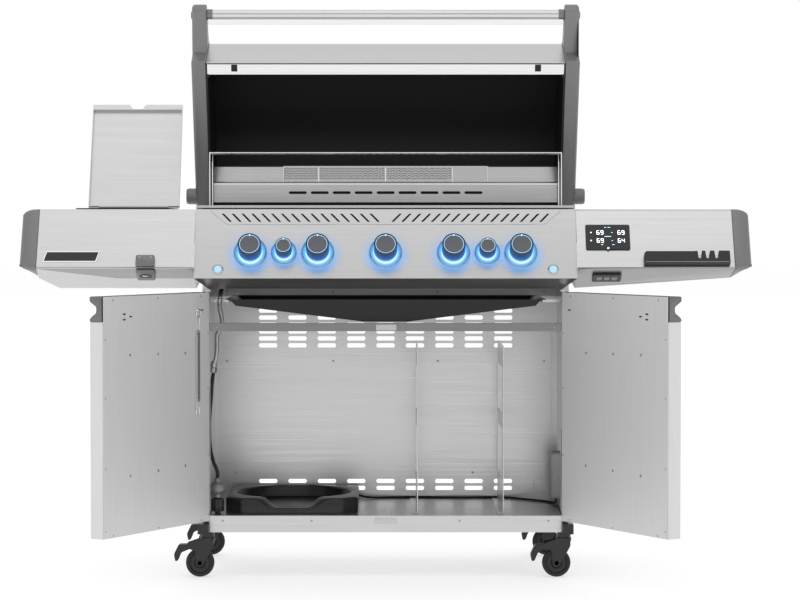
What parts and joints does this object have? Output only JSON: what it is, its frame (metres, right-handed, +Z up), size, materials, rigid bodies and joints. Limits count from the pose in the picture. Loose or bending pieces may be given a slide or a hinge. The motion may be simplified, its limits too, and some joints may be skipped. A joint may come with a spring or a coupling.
{
  "type": "gas barbecue grill",
  "caption": "Gas grill on a closed cabinet cart with casters: hinged lid, side shelves, side burner, knobs on a slanted panel, two doors and a drip tray.",
  "frame": {"origin": "centre of the bottom of the bounding box, at rest with the lid and doors open, on the ground", "axes": "+X to the right seen from the front, +Y from the front to the back, +Z up"},
  "size_m": [1.962, 1.0522, 1.5657],
  "materials": {
    "brushed_steel": "brushed",
    "bright_steel": "polished",
    "grey_casting": "satin",
    "black_enamel": "satin",
    "black_rubber": "matte",
    "dark_knob": "satin",
    "braided_steel": "braided",
    "display_black": "gloss",
    "cast_iron": "matte",
    "pale_plastic": "matte",
    "blue_lamp": "lit"
  },
  "bodies": {
    "cart": {"base_tray": "brushed_steel", "caster_frame": "black_enamel", "back_panel": "brushed_steel", "left_side_panel": "brushed_steel", "right_side_panel": "brushed_steel", "front_rail": "brushed_steel", "centre_divider": "brushed_steel", "right_divider": "brushed_steel", "tank_tray": "black_enamel", "firebox": "black_enamel", "rear_burner": "brushed_steel", "burner_set": "brushed_steel", "control_panel": "brushed_steel", "left_shelf": "brushed_steel", "left_shelf_cap": "grey_casting", "right_shelf": "brushed_steel", "right_shelf_cap": "grey_casting", "side_burner": "cast_iron", "display_module": "display_black", "tool_rail": "black_enamel", "flex_connector": "braided_steel", "gas_hose": "black_rubber", "regulator": "braided_steel", "power_supply": "pale_plastic", "power_lead": "black_rubber"},
    "lid": {"lid_shell": "brushed_steel", "lid_left_casting": "grey_casting", "lid_right_casting": "grey_casting", "lid_handle": "bright_steel"},
    "left_door": {"left_door": "brushed_steel", "left_door_handle": "grey_casting"},
    "right_door": {"right_door": "brushed_steel", "right_door_handle": "grey_casting"},
    "side_burner_lid": {"side_burner_lid": "brushed_steel"},
    "burner_knob_1": {"burner_knob_1": "dark_knob"},
    "burner_knob_2": {"burner_knob_2": "dark_knob"},
    "burner_knob_3": {"burner_knob_3": "dark_knob"},
    "burner_knob_4": {"burner_knob_4": "dark_knob"},
    "burner_knob_5": {"burner_knob_5": "dark_knob"},
    "side_burner_knob": {"side_burner_knob": "dark_knob"},
    "rear_burner_knob": {"rear_burner_knob": "dark_knob"},
    "left_lamp_button": {"left_lamp_button": "blue_lamp"},
    "right_lamp_button": {"right_lamp_button": "blue_lamp"},
    "front_left_caster_fork": {"front_left_caster_fork": "black_enamel"},
    "front_left_caster_wheel": {"front_left_caster_wheel": "black_rubber"},
    "front_left_caster_pedal": {"front_left_caster_pedal": "black_enamel"},
    "front_right_caster_fork": {"front_right_caster_fork": "black_enamel"},
    "front_right_caster_wheel": {"front_right_caster_wheel": "black_rubber"},
    "front_right_caster_pedal": {"front_right_caster_pedal": "black_enamel"},
    "rear_left_caster_fork": {"rear_left_caster_fork": "black_enamel"},
    "rear_left_caster_wheel": {"rear_left_caster_wheel": "black_rubber"},
    "rear_left_caster_pedal": {"rear_left_caster_pedal": "black_enamel"},
    "rear_right_caster_fork": {"rear_right_caster_fork": "black_enamel"},
    "rear_right_caster_wheel": {"rear_right_caster_wheel": "black_rubber"},
    "rear_right_caster_pedal": {"rear_right_caster_pedal": "black_enamel"},
    "drip_tray": {"drip_tray": "brushed_steel"},
    "warming_rack": {"warming_rack": "bright_steel"},
    "left_grid": {"left_grid": "cast_iron"},
    "middle_grid": {"middle_grid": "cast_iron"},
    "right_grid": {"right_grid": "cast_iron"}
  },
  "joints": [
    {"name": "lid_hinge", "type": "hinge", "parent": "cart", "child": "lid", "pos_m": [0, 0.31341, 1.032], "axis": [1, 0, 0], "range_deg": [0, 65]},
    {"name": "left_door_hinge", "type": "hinge", "parent": "cart", "child": "left_door", "pos_m": [-0.482, -0.11359, 0.152], "axis": [0, 0, 1], "range_deg": [0, 120]},
    {"name": "right_door_hinge", "type": "hinge", "parent": "cart", "child": "right_door", "pos_m": [0.482, -0.11359, 0.152], "axis": [0, 0, -1], "range_deg": [0, 120]},
    {"name": "side_burner_lid_hinge", "type": "hinge", "parent": "cart", "child": "side_burner_lid", "pos_m": [-0.714, 0.27241, 1.0011], "axis": [1, 0, 0], "range_deg": [0, 115]},
    {"name": "burner_knob_1_turn", "type": "hinge", "parent": "cart", "child": "burner_knob_1", "pos_m": [-0.363, -0.1317, 0.8776], "axis": [0, -0.9068, 0.4215], "range_deg": [0, 150]},
    {"name": "burner_knob_2_turn", "type": "hinge", "parent": "cart", "child": "burner_knob_2", "pos_m": [-0.182, -0.1317, 0.8776], "axis": [0, -0.9068, 0.4215], "range_deg": [0, 150]},
    {"name": "burner_knob_3_turn", "type": "hinge", "parent": "cart", "child": "burner_knob_3", "pos_m": [0, -0.1317, 0.8776], "axis": [0, -0.9068, 0.4215], "range_deg": [0, 150]},
    {"name": "burner_knob_4_turn", "type": "hinge", "parent": "cart", "child": "burner_knob_4", "pos_m": [0.182, -0.1317, 0.8776], "axis": [0, -0.9068, 0.4215], "range_deg": [0, 150]},
    {"name": "burner_knob_5_turn", "type": "hinge", "parent": "cart", "child": "burner_knob_5", "pos_m": [0.363, -0.1317, 0.8776], "axis": [0, -0.9068, 0.4215], "range_deg": [0, 150]},
    {"name": "side_burner_knob_turn", "type": "hinge", "parent": "cart", "child": "side_burner_knob", "pos_m": [-0.273, -0.1317, 0.8776], "axis": [0, -0.9068, 0.4215], "range_deg": [0, 150]},
    {"name": "rear_burner_knob_turn", "type": "hinge", "parent": "cart", "child": "rear_burner_knob", "pos_m": [0.273, -0.1317, 0.8776], "axis": [0, -0.9068, 0.4215], "range_deg": [0, 150]},
    {"name": "left_lamp_button_press", "type": "slide", "parent": "cart", "child": "left_lamp_button", "axis": [0, 0.9068, -0.4215], "range_m": [0, 0.0015], "stiffness_N_per_m": 400, "springref_m": -0.0005},
    {"name": "right_lamp_button_press", "type": "slide", "parent": "cart", "child": "right_lamp_button", "axis": [0, 0.9068, -0.4215], "range_m": [0, 0.0015], "stiffness_N_per_m": 400, "springref_m": -0.0005},
    {"name": "front_left_caster_swivel", "type": "hinge", "parent": "cart", "child": "front_left_caster_fork", "pos_m": [-0.482, -0.09359, 0.11], "axis": [0, 0, 1], "continuous": true},
    {"name": "front_left_caster_spin", "type": "hinge", "parent": "front_left_caster_fork", "child": "front_left_caster_wheel", "pos_m": [-0.502, -0.09359, 0.0385], "axis": [0, 1, 0], "continuous": true},
    {"name": "front_left_caster_brake", "type": "hinge", "parent": "front_left_caster_fork", "child": "front_left_caster_pedal", "pos_m": [-0.532, -0.09359, 0.084], "axis": [0, 1, 0], "range_deg": [0, 20]},
    {"name": "front_right_caster_swivel", "type": "hinge", "parent": "cart", "child": "front_right_caster_fork", "pos_m": [0.482, -0.09359, 0.11], "axis": [0, 0, 1], "continuous": true},
    {"name": "front_right_caster_spin", "type": "hinge", "parent": "front_right_caster_fork", "child": "front_right_caster_wheel", "pos_m": [0.462, -0.09359, 0.0385], "axis": [0, 1, 0], "continuous": true},
    {"name": "front_right_caster_brake", "type": "hinge", "parent": "front_right_caster_fork", "child": "front_right_caster_pedal", "pos_m": [0.432, -0.09359, 0.084], "axis": [0, 1, 0], "range_deg": [0, 20]},
    {"name": "rear_left_caster_swivel", "type": "hinge", "parent": "cart", "child": "rear_left_caster_fork", "pos_m": [-0.482, 0.37041, 0.11], "axis": [0, 0, 1], "continuous": true},
    {"name": "rear_left_caster_spin", "type": "hinge", "parent": "rear_left_caster_fork", "child": "rear_left_caster_wheel", "pos_m": [-0.502, 0.37041, 0.0385], "axis": [0, 1, 0], "continuous": true},
    {"name": "rear_left_caster_brake", "type": "hinge", "parent": "rear_left_caster_fork", "child": "rear_left_caster_pedal", "pos_m": [-0.532, 0.37041, 0.084], "axis": [0, 1, 0], "range_deg": [0, 20]},
    {"name": "rear_right_caster_swivel", "type": "hinge", "parent": "cart", "child": "rear_right_caster_fork", "pos_m": [0.482, 0.37041, 0.11], "axis": [0, 0, 1], "continuous": true},
    {"name": "rear_right_caster_spin", "type": "hinge", "parent": "rear_right_caster_fork", "child": "rear_right_caster_wheel", "pos_m": [0.462, 0.37041, 0.0385], "axis": [0, 1, 0], "continuous": true},
    {"name": "rear_right_caster_brake", "type": "hinge", "parent": "rear_right_caster_fork", "child": "rear_right_caster_pedal", "pos_m": [0.432, 0.37041, 0.084], "axis": [0, 1, 0], "range_deg": [0, 20]},
    {"name": "drip_tray_slide", "type": "slide", "parent": "cart", "child": "drip_tray", "axis": [0, 1, 0], "range_m": [-0.3, 0]},
    {"name": "warming_rack_lift", "type": "slide", "parent": "cart", "child": "warming_rack", "axis": [0, 0, -1], "range_m": [-0.1, 0]},
    {"name": "left_grid_lift", "type": "slide", "parent": "cart", "child": "left_grid", "axis": [0, 0, -1], "range_m": [-0.04, 0]},
    {"name": "middle_grid_lift", "type": "slide", "parent": "cart", "child": "middle_grid", "axis": [0, 0, -1], "range_m": [-0.04, 0]},
    {"name": "right_grid_lift", "type": "slide", "parent": "cart", "child": "right_grid", "axis": [0, 0, -1], "range_m": [-0.04, 0]}
  ]
}
